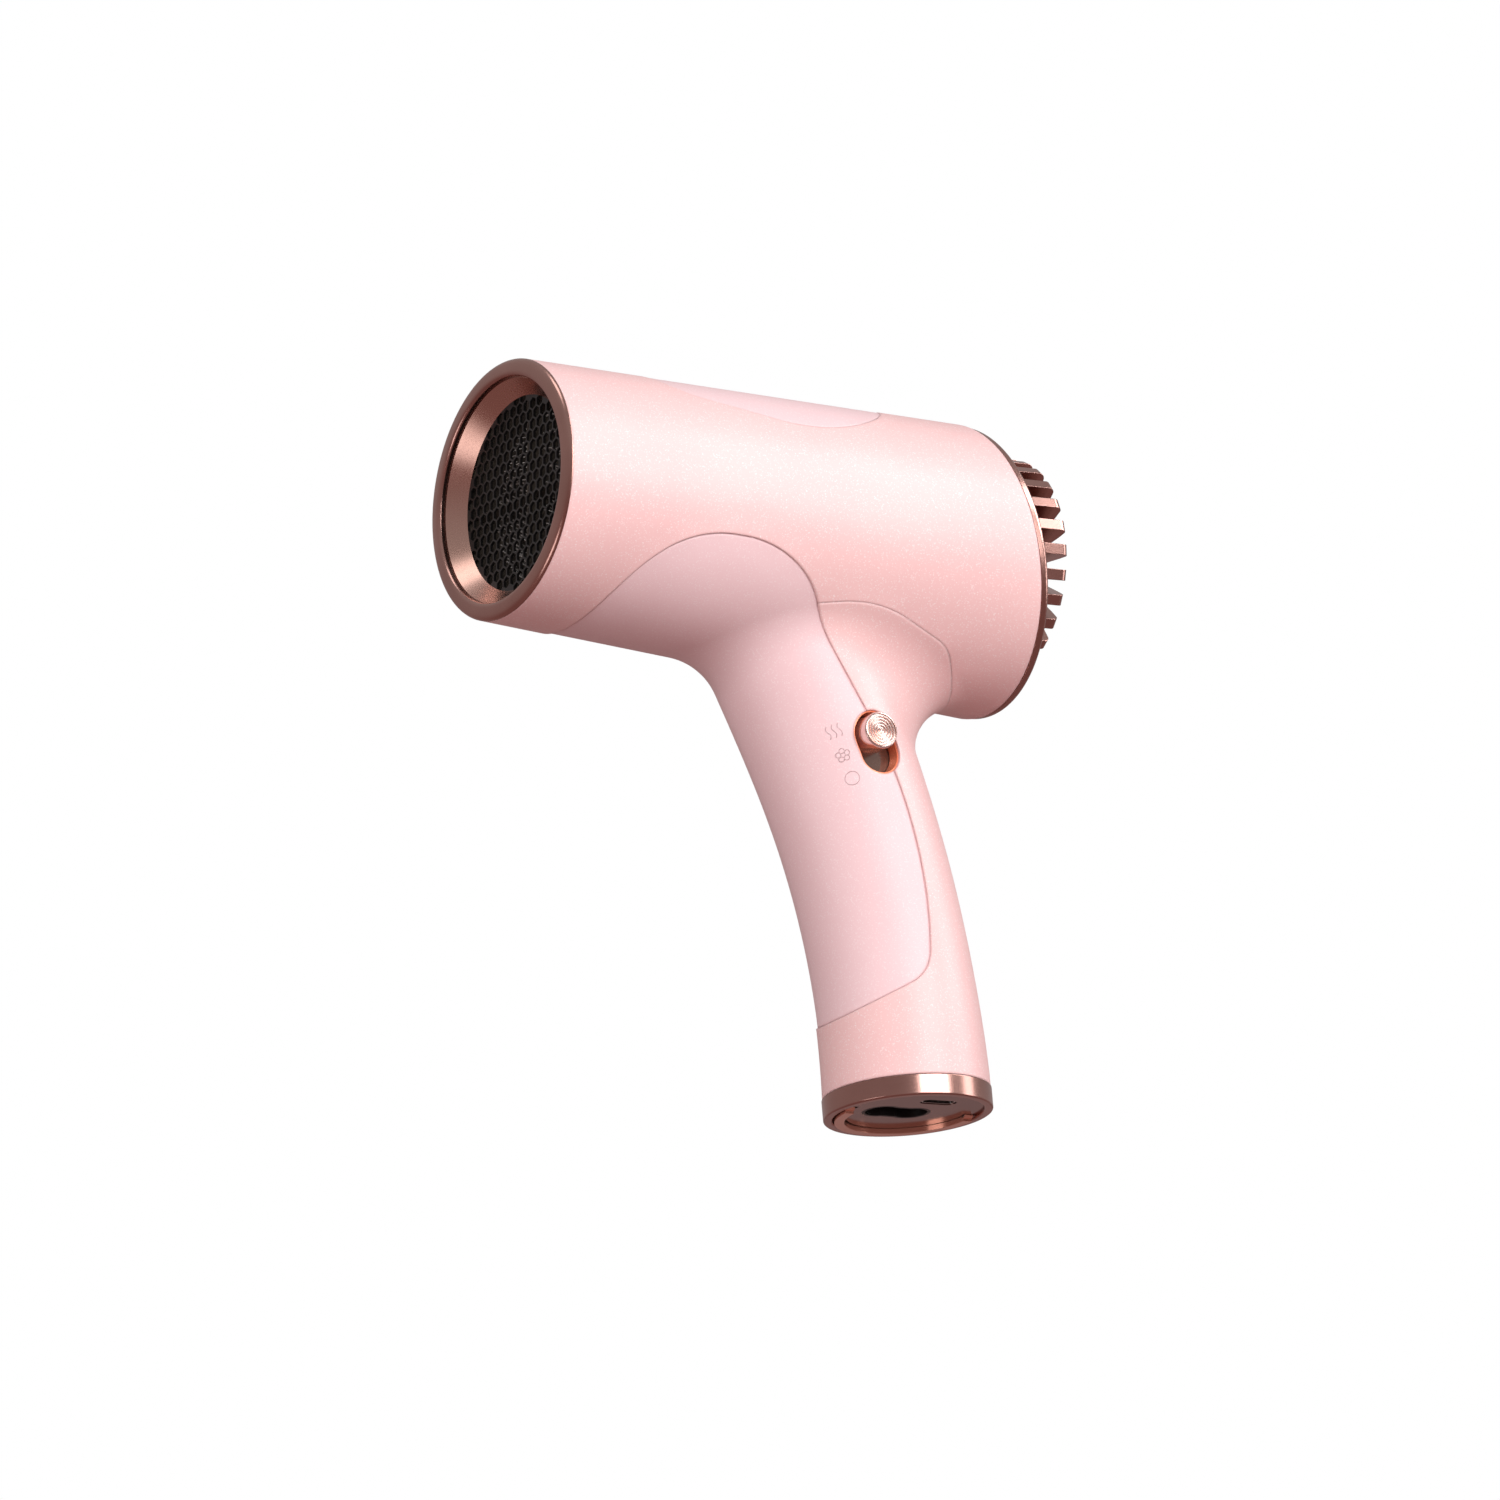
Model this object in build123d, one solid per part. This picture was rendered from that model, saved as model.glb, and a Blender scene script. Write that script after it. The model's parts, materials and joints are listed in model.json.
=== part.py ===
"""Cordless travel hair dryer with a tapered barrel and a curved handle.

Millimetres. The origin is the centre of the air outlet, on the barrel axis.
+X runs back along the barrel, +Z is up and -Y is the side with the switch.
Stations along the handle are lengths from its bottom end, along its centreline.
"""
import os
from math import cos, radians, sin

from build123d import *

# ---- barrel ----------------------------------------------------------------------------
MOUTH_RADIUS = 31.7          # outside of the barrel at the air outlet
TAPER = 0.0215               # growth of the barrel radius for each mm of length
BARREL_LENGTH = 128.1        # outlet plane to rear plane, on the axis
REAR_TILT = 12.5             # the rear plane leans forward at the top, in degrees
REAR_ROUND = 0.8             # rounding of the barrel's rear edge
WALL = 2.4                   # barrel and handle wall
PANEL_DROP = 0.4             # how far the grip cover lies below the shell surface
INLAY_DROP = 0.15            # and the top inlay
INLAY_SEAT = 1.4             # depth of the pocket for the top inlay
SEAM = 0.04                  # width of the lines between panels

# ---- handle ----------------------------------------------------------------------------
FOOT_X = 113.05              # centre of the handle's bottom end
FOOT_Z = -137.7
FOOT_TILT = 5.7              # lean of the handle's lower end, in degrees
HANDLE_STRAIGHT = 8.0        # straight length above the bottom end
BEND_RADIUS = 243.0          # radius of the centreline's curve
BEND_ANGLE = 19.5
HANDLE_TOP = 128.0           # station where the handle ends inside the barrel
WAIST_RADIUS = 19.35         # thinnest section
WAIST_STATION = 55.0
FLARE = 1.0                  # growth of the radius one waist station away from the waist
NECK_FILLET = 15.5
SECTIONS = 7
FRONT = 180                  # where a section's circle starts, in degrees from the rear
REAR = 0

# ---- air outlet ------------------------------------------------------------------------
RING_BORE = 27.4             # bore of the outlet ring, where a concentrator fits
RING_FRONT = 1.25            # how far the ring's bead stands ahead of the barrel
RING_LIP = 0.7               # how far the bore reaches ahead of the barrel
RING_BORE_DEPTH = 0.35       # bore behind the outlet plane
RING_SLEEVE = 8.0            # length of the ring's sleeve inside the barrel
BOWL_GAP = 0.1               # dark line between the ring and the bowl
BOWL_STEP = 0.2              # bowl's mouth inside the bore
GRILLE_LEDGE = 1.5           # width of the bowl's ledge in front of the grille
GRILLE_X = 4.4
GRILLE_THICK = 0.7
COLLAR_LENGTH = 5.0          # collar of the bowl that holds the grille and the duct
HEX_PITCH = 3.0
HEX_WALL = 0.45

# ---- duct, heater, motor ---------------------------------------------------------------
DUCT_BORE = 25.2
DUCT_WALL = 1.4
REAR_CHAMBER = 18.1          # free length between the duct and the rear plane
SLEEVE_THICK = 0.6
HEATER_GAP = 0.4
HEATER_LENGTH = 50.0
MICA_THICK = 0.6
COIL_GAP = 4.7               # between the duct and the middle of the wire
WIRE_RADIUS = 0.4
COIL_TURNS = 9
MOTOR_AHEAD = 35.0           # motor's front ahead of the middle of the fan
MOTOR_RADIUS = 12.0
MOTOR_LENGTH = 24.0
CAN_THICK = 1.0
CAP_LENGTH = 3.0
SHAFT_RADIUS = 1.0
BUSH_CLEARANCE = 0.03
AIR_GAP = 0.6
FAN_DEPTH = 8.0              # middle of the fan inside the duct
FAN_CLEARANCE = 0.8
FAN_HUB = 9.0
FAN_LENGTH = 11.0
BLADES = 9
BLADE_PITCH = 38.0

# ---- rear intake -----------------------------------------------------------------------
RIM_STAND = 2.1              # how far the rim stands behind the rear plane
RIM_INSET = 0.35             # rim's edge inside the barrel's outline
RIM_SLEEVE = 31.2            # outside of the rim's sleeve, in the barrel
RIM_BORE = 29.4
RIM_SLEEVE_DEPTH = 6.0
FINS = 27
FIN_THICK = 2.6
FIN_TILT = 3.9               # lean of the fins' own axis
FIN_FOOT = 0.9               # foot of that axis behind the rear plane
FIN_Z = 1.4
FIN_STAND = 12.7             # height of the fins above it
FIN_INSET = 3.0              # fins' outer edges inside the rim's bore
FIN_LEG = 4.0                # radial width of a fin's leg
FIN_BAR = 4.5                # height of its bar
FIN_INNER = 13.5

# ---- handle bottom ---------------------------------------------------------------------
BAND_HEIGHT = 5.2
BAND_WALL = 2.2
PLATE_RECESS = 0.8           # end plate below the rim of the band
PLATE_THICK = 4.0
PLATE_FIT = 0.05
LOOP_WIDTH = 2.4             # radial width of the hanging loop's strip
LOOP_THICK = 1.7             # its height
LOOP_PROUD = 0.5             # how far it stands out of the rim
LOOP_AXIS = 1.05             # depth of the hinge line behind the rim
EYE_RADIUS = 0.9
LOOP_GAP = 0.4
PIN_RADIUS = 0.6
PIN_FIT = 0.05
PIN_DEPTH = 1.3              # how far the pins reach into the band
INLET_X = -3.0               # middle of the two-pole inlet, from the middle of the plate
INLET_Y = 0.6
INLET_LENGTH = 16.2
INLET_WIDTH = 8.2
INLET_DEPTH = 11.0
INLET_WALL = 0.8
POLE_SPACING = 8.6
POLE_RADIUS = 1.2
USB_X = 2.4
USB_Y = -9.9
USB_LENGTH = 8.94            # outside of a USB-C receptacle
USB_WIDTH = 3.26
USB_DEPTH = 7.3
USB_SHELL = 0.3

# ---- battery and boards ----------------------------------------------------------------
CELL_RADIUS = 7.0
CELL_LENGTH = 49.0
CELL_GAP = 0.2
CELL_STATION = 44.6
BOARD_THICK = 1.2

# ---- switch ----------------------------------------------------------------------------
SWITCH_STATION = 87.4
SWITCH_BACK = 1.1            # slot behind the handle's centreline
SLOT_LENGTH = 15.8
SLOT_WIDTH = 11.3
BEZEL_WALL = 0.4
BEZEL_DROP = 0.7             # liner's rim below the handle's surface
WINDOW_FACE = 14.2           # distance of the window's face from the handle's middle plane
WINDOW_THICK = 1.2
KNOB_RADIUS = 4.5
KNOB_FACE = 22.5
SWITCH_TRAVEL = 4.5
SLIDE_GAP = 0.35

# ---- sizes worked out from those above ---------------------------------------------------
HEATER_FRONT = GRILLE_X + GRILLE_THICK + HEATER_GAP
DUCT_FRONT = GRILLE_X + COLLAR_LENGTH + 0.2
DUCT_REAR = BARREL_LENGTH - REAR_CHAMBER
BOWL_MOUTH = RING_BORE - BOWL_STEP
GRILLE_SIGHT = DUCT_BORE - GRILLE_LEDGE
COIL_RADIUS = DUCT_BORE - COIL_GAP
FAN_RADIUS = DUCT_BORE - FAN_CLEARANCE
FAN_MIDDLE = DUCT_REAR - FAN_DEPTH
MOTOR_FRONT = FAN_MIDDLE - MOTOR_AHEAD
FIN_X = BARREL_LENGTH + FIN_FOOT
FIN_OUTER = RIM_BORE - FIN_INSET


def tube(outer, inner, x_from, x_to):
    """A ring around the barrel axis between two places on it."""
    face = Plane(origin=(x_from, 0, 0), z_dir=(1, 0, 0)) * (Circle(outer) - Circle(inner))
    return extrude(face, x_to - x_from, dir=(1, 0, 0))


def rod(radius, x_from, x_to):
    """A cylinder on the barrel axis between two places on it."""
    return Solid.make_cylinder(radius, x_to - x_from, Plane((x_from, 0, 0), z_dir=(1, 0, 0)))


def turned(points, axis=Axis.X):
    """A ring turned around the barrel axis, from (x, radius) corners."""
    corners = [(x, 0, radius) for x, radius in points]
    return revolve(Face(Wire.make_polygon(corners, close=True)), axis)


def handle_point(station):
    """x, z and lean of the handle's centreline at a station."""
    lean = radians(FOOT_TILT)
    low = min(station, HANDLE_STRAIGHT)
    x = FOOT_X - low * sin(lean)
    z = FOOT_Z + low * cos(lean)
    bend = min(max(station - HANDLE_STRAIGHT, 0) / BEND_RADIUS, radians(BEND_ANGLE))
    x += BEND_RADIUS * (cos(lean + bend) - cos(lean))
    z += BEND_RADIUS * (sin(lean + bend) - sin(lean))
    high = max(station - HANDLE_STRAIGHT - BEND_RADIUS * radians(BEND_ANGLE), 0)
    lean += bend
    return x - high * sin(lean), z + high * cos(lean), lean


def handle_plane(station):
    """Section plane of the handle: local x rearwards, local z up along the handle."""
    x, z, lean = handle_point(station)
    return Plane((x, 0, z), x_dir=(cos(lean), 0, sin(lean)), z_dir=(-sin(lean), 0, cos(lean)))


def handle_radius(station):
    """Outside radius of the handle at a station."""
    return WAIST_RADIUS + FLARE * ((station - WAIST_STATION) / WAIST_STATION) ** 2


def handle_solid(offset, low, high, start=FRONT):
    """The handle's outside, moved by an offset, between two stations.

    Its closed surface starts on one side, which is chosen away from what is cut from it.
    """
    stations = [low + (high - low) * i / (SECTIONS - 1) for i in range(SECTIONS)]
    return loft([handle_plane(s) * Rot(Z=start) * Circle(handle_radius(s) + offset)
                 for s in stations])


def barrel_radius(x):
    """Outside radius of the barrel."""
    return MOUTH_RADIUS + TAPER * x


def barrel_solid(offset, x_from, x_to):
    """The barrel's cone, moved by an offset."""
    plane = Plane((x_from, 0, 0), x_dir=(0, 1, 0), z_dir=(1, 0, 0))
    return Solid.make_cone(barrel_radius(x_from) + offset, barrel_radius(x_to) + offset,
                           x_to - x_from, plane)


def rear_plane(behind=0.0):
    """The leaning rear plane; local x is the upper radius, local z points backwards."""
    lean = radians(REAR_TILT)
    origin = Vector(BARREL_LENGTH, 0, 0) + Vector(cos(lean), 0, sin(lean)) * behind
    return Plane(origin, x_dir=(-sin(lean), 0, cos(lean)), z_dir=(cos(lean), 0, sin(lean)))


def behind_rear(behind):
    """Everything behind the rear plane, or behind a plane parallel to it."""
    return rear_plane(behind) * Box(120, 120, 60, align=(Align.CENTER, Align.CENTER, Align.MIN))


def with_neck(barrel, handle, fillet_radius):
    """Barrel and handle joined with the rounded neck between them."""
    body = barrel + handle
    neck = [e for e in body.edges() if e.geom_type == GeomType.BSPLINE and e.length > 100
            and abs(e.center().Z + MOUTH_RADIUS) < 6]
    return body.fillet(fillet_radius, neck)


def outer_body():
    """Outside of the shells, before they are hollowed and split."""
    barrel = barrel_solid(0, 0, BARREL_LENGTH + 12) - behind_rear(0)
    rear_edge = barrel.edges().sort_by(Axis.X)[-1]
    barrel = barrel.fillet(REAR_ROUND, [rear_edge])
    return with_neck(barrel, handle_solid(0, BAND_HEIGHT, HANDLE_TOP), NECK_FILLET)


def lowered_body(depth, start=FRONT):
    """The same body with its surface lowered, longer than the shells at every end."""
    barrel = barrel_solid(-depth, -5, BARREL_LENGTH + 12)
    handle = handle_solid(-depth, 0, HANDLE_TOP, start)
    return with_neck(barrel, handle, NECK_FILLET + depth)


def hollow_body(start=FRONT):
    """Inside of the shells, open at both ends of the barrel."""
    return lowered_body(WALL, start)


def side_region(points, radii, corners, inset):
    """A slab across the whole body, seen from the side.

    Its edge runs through (x, z) points with a radius at each, then round by the far
    corners. An inset draws the whole outline in, which leaves a seam along the edge.
    """
    line = FilletPolyline(*[(x, 0, z) for x, z in points], radius=radii)
    first = line.position_at(0)
    last = line.position_at(1)
    ring = [last] + [Vector(x, 0, z) for x, z in corners] + [first]
    sides = [Edge.make_line(a, b) for a, b in zip(ring, ring[1:])]
    face = Face(Wire(line.edges() + sides))
    if inset:
        face = offset(face, -inset, kind=Kind.INTERSECTION)
    return extrude(face, 60, dir=(0, 1, 0), both=True)


def top_region(inset=0.0):
    """Where the top inlay lies: a long shallow arch."""
    return side_region([(22, 40), (37.5, 24.5), (74.5, 18.2), (93, 27.5), (106, 39)],
                       [14, 45, 25], [(106, 60), (22, 60)], inset)


def grip_region(inset=0.0):
    """Where the front grip cover lies: a wave along the barrel, then down the handle."""
    return side_region([(15, -50), (15, -11.5), (65.4, -11.5), (107.5, -71.8),
                        (107.5, -108), (77.8, -126.5)],
                       [31.5, 31.5, 97, 10], [(0, -126.5), (0, -50)], inset)


def rear_region(inset=0.0):
    """Where the rear handle shell lies: below the arch of the neck."""
    return side_region([(60, -25), (88, -20.2), (111.5, -26.9), (129, -42.4)],
                       [40, 16], [(180, -42.4), (180, -160), (60, -160)], inset)


def slot_plane(outward=0.0):
    """Plane of the switch: local x up along the handle, local z out to the side."""
    x, z, lean = handle_point(SWITCH_STATION)
    origin = (x + SWITCH_BACK * cos(lean), -outward, z + SWITCH_BACK * sin(lean))
    return Plane(origin, x_dir=(-sin(lean), 0, cos(lean)), z_dir=(0, -1, 0))


def slot_block(length, width, inner, outer):
    """An oblong block of the switch between two distances from the middle plane."""
    return extrude(slot_plane(inner) * SlotOverall(length, width), outer - inner,
                   dir=(0, -1, 0))


def slot_box(length, width, inner, outer, along=0.0):
    """A square-cornered block of the switch."""
    face = slot_plane(inner) * Pos(along, 0) * Rectangle(length, width)
    return extrude(face, outer - inner, dir=(0, -1, 0))


def shells():
    """Barrel shell, top inlay, front grip cover and rear handle shell."""
    wall = outer_body() - hollow_body()
    seat = lowered_body(INLAY_SEAT)
    grip = grip_region()
    slot = slot_block(SLOT_LENGTH, SLOT_WIDTH, 10, 40)
    barrel = wall - grip - rear_region() - (top_region() - seat)
    inlay = (lowered_body(INLAY_DROP) & top_region(SEAM)) - seat
    cover = lowered_body(PANEL_DROP, REAR) & grip_region(SEAM)
    cover = cover - hollow_body(REAR) - slot
    handle = (wall & rear_region(SEAM)) - grip - slot
    return {"barrel_shell": barrel, "top_inlay": inlay, "front_grip_cover": cover,
            "rear_handle_shell": handle}


def outlet_ring():
    """Bright bead around the outlet, with the bore for a concentrator."""
    middle = (RING_BORE + MOUTH_RADIUS) / 2
    sleeve = MOUTH_RADIUS - WALL - 0.3
    line = Polyline((0, 0, MOUTH_RADIUS), (0, 0, sleeve), (RING_SLEEVE, 0, sleeve),
                    (RING_SLEEVE, 0, RING_BORE + 0.4), (RING_BORE_DEPTH, 0, RING_BORE + 0.4),
                    (RING_BORE_DEPTH, 0, RING_BORE), (-RING_LIP, 0, RING_BORE))
    bead = Spline((-RING_LIP, 0, RING_BORE), (-RING_FRONT, 0, middle), (0, 0, MOUTH_RADIUS),
                  tangents=[(-1.0, 0, 0.35), (1.0, 0, 0.3)])
    return revolve(Face(Wire(line.edges() + bead.edges())), Axis.X)


def outlet_bowl():
    """Funnel between the ring and the grille, with a collar that holds the grille."""
    front = RING_BORE_DEPTH + BOWL_GAP
    collar_end = GRILLE_X + COLLAR_LENGTH
    return turned([(front, BOWL_MOUTH), (GRILLE_X, GRILLE_SIGHT), (GRILLE_X, DUCT_BORE),
                   (collar_end, DUCT_BORE), (collar_end, DUCT_BORE + DUCT_WALL),
                   (GRILLE_X + 1, DUCT_BORE + DUCT_WALL), (front, BOWL_MOUTH + 0.5)])


def outlet_grille():
    """Honeycomb disc."""
    radius = DUCT_BORE - 0.1
    hex_radius = (HEX_PITCH - HEX_WALL) / 2
    reach = int(radius / HEX_PITCH) + 2
    centres = []
    for row in range(-reach, reach + 1):
        for column in range(-reach, reach + 1):
            y = HEX_PITCH * (column + 0.5 * (row % 2))
            z = HEX_PITCH * row * cos(radians(30))
            if (y * y + z * z) ** 0.5 < GRILLE_SIGHT - 0.2:
                centres.append((y, z))
    holes = [Pos(y, z) * RegularPolygon(hex_radius, 6, major_radius=False, rotation=30)
             for y, z in centres]
    sketch = Circle(radius) - holes
    face = Plane((GRILLE_X, 0, 0), x_dir=(0, 1, 0), z_dir=(1, 0, 0)) * sketch
    return extrude(face, GRILLE_THICK, dir=(1, 0, 0))


def mica_plates():
    """Two crossed plates that carry the wire, each notched for the other."""
    front = HEATER_FRONT + 1.2
    rear = front + HEATER_LENGTH - 2.4
    tab = 3.0
    outer = DUCT_BORE - 0.1 - SLEEVE_THICK - 0.1
    inner = COIL_RADIUS - WIRE_RADIUS
    long_part = Box(rear - front, 2 * inner, MICA_THICK)
    tabs = Box(tab, 2 * outer, MICA_THICK)
    middle = (front + rear) / 2
    plate = Pos(middle, 0, 0) * long_part + Pos(front + tab / 2, 0, 0) * tabs
    plate = plate + Pos(rear - tab / 2, 0, 0) * tabs
    notch = Box((rear - front) / 2 + 0.1, MICA_THICK + 0.1, 4)
    level = plate - Pos((middle + rear) / 2, 0, 0) * notch
    upright = Rot(X=90) * (plate - Pos((middle + front) / 2, 0, 0) * notch)
    return {"mica_plate_level": level, "mica_plate_upright": upright}


def heater_coils():
    """Turns of resistance wire around the crossed plates."""
    start = HEATER_FRONT + 5
    step = (HEATER_LENGTH - 10) / (COIL_TURNS - 1)
    turn = Torus(COIL_RADIUS, WIRE_RADIUS)
    return Compound(children=[Pos(start + step * i, 0, 0) * Rot(Y=90) * turn
                              for i in range(COIL_TURNS)])


def heater_guards():
    """Bimetal cut-out and thermal fuse on the level plate."""
    level = MICA_THICK / 2
    cutout = Pos(HEATER_FRONT + 40, 8, level + 1.5) * Box(9, 6, 3)
    disc = Pos(HEATER_FRONT + 40, 8, level + 3.4) * Cylinder(2.4, 0.8)
    fuse = Pos(HEATER_FRONT + 40, -8, level + 1.2) * Rot(Y=90) * Cylinder(1.2, 9)
    legs = Pos(HEATER_FRONT + 40, -8, level + 1.2) * Rot(Y=90) * Cylinder(0.35, 15)
    return {"thermal_cutout": cutout + disc, "thermal_fuse": fuse + legs}


def motor_mount():
    """Ring, vanes and hub that hold the motor in the duct."""
    x_from = MOTOR_FRONT - 3
    x_to = MOTOR_FRONT + MOTOR_LENGTH + 4
    hub_outer = MOTOR_RADIUS + 1.3
    ring = tube(DUCT_BORE - 0.1, DUCT_BORE - 1.3, x_from, x_to)
    hub = tube(hub_outer, MOTOR_RADIUS + 0.1, MOTOR_FRONT, x_to)
    vane = Box(x_to - MOTOR_FRONT - 4, 1.2, DUCT_BORE - 0.7 - hub_outer + 0.6)
    middle = (MOTOR_FRONT + x_to) / 2
    lift = (DUCT_BORE - 0.7 + hub_outer - 0.6) / 2
    vanes = [Rot(X=60 * i) * Pos(middle, 0, lift) * vane for i in range(6)]
    return ring + hub + vanes


def motor():
    """The fixed parts of the motor."""
    rear = MOTOR_FRONT + MOTOR_LENGTH
    bush_outer = 2.5
    bush_bore = SHAFT_RADIUS + BUSH_CLEARANCE
    can = tube(MOTOR_RADIUS, MOTOR_RADIUS - CAN_THICK, MOTOR_FRONT, rear)
    can = can + tube(MOTOR_RADIUS, bush_outer, MOTOR_FRONT, MOTOR_FRONT + CAN_THICK)
    cap = tube(MOTOR_RADIUS, bush_outer, rear, rear + CAP_LENGTH)
    bushes = Compound(children=[tube(bush_outer, bush_bore, MOTOR_FRONT - 1, MOTOR_FRONT + 2),
                                tube(bush_outer, bush_bore, rear, rear + CAP_LENGTH + 0.5)])
    magnet_outer = MOTOR_RADIUS - CAN_THICK
    ring = tube(magnet_outer, magnet_outer - 2.1, MOTOR_FRONT + 3, rear - 5)
    magnets = ring - Box(400, 60, 7)
    brush = Box(2.6, 3.0, 2.0)
    post = Box(5.0, 1.0, 2.0)
    brush_x = rear - 2.6
    brushes = [Pos(brush_x, side * 4.5, 0) * brush + Pos(rear - 2.5, side * 5.5, 0) * post
               for side in (-1, 1)]
    return {"motor_can": can, "motor_end_cap": cap, "motor_bushes": bushes,
            "motor_magnets": magnets, "motor_brushes": Compound(children=brushes)}


def rotor():
    """The turning parts of the motor and the fan on the same shaft."""
    rear = MOTOR_FRONT + MOTOR_LENGTH
    core_radius = MOTOR_RADIUS - CAN_THICK - 2.1 - AIR_GAP
    core_from = MOTOR_FRONT + 6
    core_to = rear - 7.5
    fan_to = FAN_MIDDLE + FAN_LENGTH / 2 + 1.5
    shaft = rod(SHAFT_RADIUS, MOTOR_FRONT - 3, fan_to - 2)
    core = tube(core_radius, SHAFT_RADIUS, core_from, core_to)
    slots = [Rot(X=120 * i + 60) * Pos((core_from + core_to) / 2, 0, 5.8) * Box(30, 2.6, 5.6)
             for i in range(3)]
    core = core - slots
    windings = tube(core_radius - 1.5, SHAFT_RADIUS + 0.8, core_from - 1.6, core_from)
    windings = Compound(children=[windings, Pos(core_to - core_from + 1.6, 0, 0) * windings])
    commutator = tube(2.6, SHAFT_RADIUS, rear - 5, rear - 1)
    return {"motor_shaft": shaft, "rotor_core": core, "rotor_windings": windings,
            "commutator": commutator, "fan": fan()}


def fan():
    """Fan: hub with a rounded nose and pitched blades."""
    half = FAN_LENGTH / 2
    nose = FAN_MIDDLE + half
    hub = turned([(FAN_MIDDLE - half, SHAFT_RADIUS), (FAN_MIDDLE - half, FAN_HUB),
                  (nose - 3, FAN_HUB), (nose, FAN_HUB - 2.5), (nose + 1.5, FAN_HUB - 6),
                  (nose + 1.5, SHAFT_RADIUS)])
    length = FAN_RADIUS - FAN_HUB + 3
    blade = Rot(Z=BLADE_PITCH) * Box(FAN_LENGTH, 1.2, length)
    lift = FAN_HUB - 1 + length / 2
    blades = [Rot(X=360 / BLADES * i) * Pos(FAN_MIDDLE, 0, lift) * blade
              for i in range(BLADES)]
    swept = tube(FAN_RADIUS, FAN_HUB - 1, FAN_MIDDLE - half, FAN_MIDDLE + half)
    return hub + [b & swept for b in blades]


def rear_turned(points):
    """A ring turned around the leaning rear axis, from (behind, radius) corners."""
    face = Face(Wire.make_polygon([(radius, 0, behind) for behind, radius in points],
                                  close=True))
    return rear_plane() * revolve(face, Axis.Z)


def rear_rim():
    """Bright rim on the barrel's rear edge, with a sleeve inside the barrel."""
    edge = barrel_solid(-RIM_INSET, BARREL_LENGTH - 28, BARREL_LENGTH + 12)
    edge = (edge & behind_rear(0)) - behind_rear(RIM_STAND)
    outline = edge.edges().sort_by(Axis((0, 0, 0), rear_plane().z_dir))[-1]
    edge = edge.fillet(1.0, [outline])
    sleeve = rear_turned([(-RIM_SLEEVE_DEPTH, RIM_BORE), (-RIM_SLEEVE_DEPTH, RIM_SLEEVE),
                          (0, RIM_SLEEVE), (0, RIM_BORE)])
    bore = rear_plane(-20) * Cylinder(RIM_BORE, 60)
    return edge + sleeve - bore


def fin_plane():
    """Foot of the fins: local z is their axis, which leans less than the rear plane."""
    lean = radians(FIN_TILT)
    return Plane((FIN_X, 0, FIN_Z), x_dir=(-sin(lean), 0, cos(lean)),
                 z_dir=(cos(lean), 0, sin(lean)))


def fin_cage():
    """Fins shaped like an inverted L around a hub; their legs end on a domed ring."""
    outer = RIM_BORE - 0.2
    ring = rear_turned([(-2.5, outer - 5.5), (-2.5, outer), (2.0, outer), (3.2, outer - 1),
                        (3.6, outer - 3), (2.6, outer - 5.5)])
    leg = FIN_OUTER - FIN_LEG
    under_bar = FIN_STAND - FIN_BAR
    sketch = make_face(Polyline((FIN_INNER - 1, FIN_STAND - 0.8), (leg, FIN_STAND),
                                (FIN_OUTER, FIN_STAND), (FIN_OUTER, -12), (leg, -12),
                                (leg, under_bar), (FIN_INNER - 1, under_bar), close=True))
    top = sketch.vertices().group_by(Axis.X)[-1].sort_by(Axis.Y)[-1]
    sketch = fillet(top, 1.6)
    inner = [v for v in sketch.vertices() if abs(v.X - leg) < 0.01 and abs(v.Y - under_bar) < 0.01]
    sketch = fillet(inner, 1.8)
    fin = extrude(Plane.XZ * sketch, FIN_THICK / 2, both=True)
    fins = [Rot(Z=360 / FINS * i) * fin for i in range(FINS)]
    hub = Pos(0, 0, under_bar) * Cylinder(FIN_INNER, FIN_BAR - 0.8,
                                          align=(Align.CENTER, Align.CENTER, Align.MIN))
    cage = fin_plane() * (hub + fins)
    return (cage & behind_rear(-1)) + ring


def intake_mesh():
    """Lint screen: rings and spokes in a thin disc inside the rim's sleeve."""
    outer = RIM_BORE - 0.2
    wire = 0.6
    border = Circle(outer) - Circle(outer - 2)
    rings = [Circle(r + wire / 2) - Circle(r - wire / 2) for r in range(3, int(outer), 2)]
    spokes = [Rot(Z=15 * i) * Rectangle(2 * outer - 2, wire) for i in range(12)]
    disc = extrude(border + rings + spokes, 0.8)
    return rear_plane(0.5 - RIM_SLEEVE_DEPTH) * disc


def foot(solid):
    """Place a solid drawn at the handle's bottom: z is the height above the end."""
    return handle_plane(0).location * solid


def upright_ring(outer, inner, low, high):
    """A ring around the local z axis."""
    return extrude(Pos(0, 0, low) * (Circle(outer) - Circle(inner)), high - low)


def end_band():
    """Polished band around the handle's bottom end."""
    outer = handle_radius(0)
    band = upright_ring(outer, outer - BAND_WALL, 0, BAND_HEIGHT - 0.2)
    edges = band.edges().group_by(Axis.Z)[0]
    return foot(band.fillet(0.4, edges) - loop_pin_rods(PIN_RADIUS))


def figure_eight(length, width):
    """Outline of a two-pole inlet: two rounds and a narrower waist."""
    radius = width / 2
    ends = [Pos(side * (length / 2 - radius), 0) * Circle(radius) for side in (-1, 1)]
    return Rectangle(length - width, width - 1.0) + ends


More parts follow.
